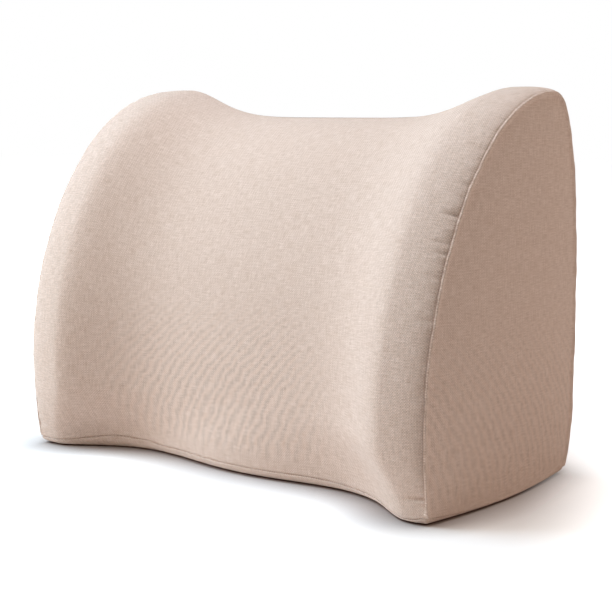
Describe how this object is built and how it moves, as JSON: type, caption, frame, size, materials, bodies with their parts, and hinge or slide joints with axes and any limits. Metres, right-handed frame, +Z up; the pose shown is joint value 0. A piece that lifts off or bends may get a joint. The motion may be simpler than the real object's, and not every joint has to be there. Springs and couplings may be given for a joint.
{
  "type": "lumbar support pillow",
  "caption": "Upright foam lumbar support pillow with raised side wings, a hollowed front and a flat base, in a plain woven fabric cover.",
  "frame": {"origin": "middle of the flat base, on the surface that the pillow stands on, under the middle of its box", "axes": "+Z up, +X across the pillow from wing to wing, +Y out of the flat back, so the hollow front faces -Y"},
  "size_m": [0.4056, 0.2104, 0.2945],
  "materials": {
    "cover_fabric": "matt plain weave of slubby linen-look yarn, pale blush beige"
  },
  "bodies": {
    "root": {"filled_body": "cover_fabric", "end_panel_right": "cover_fabric", "end_panel_left": "cover_fabric", "base_panel": "cover_fabric"}
  },
  "joints": []
}
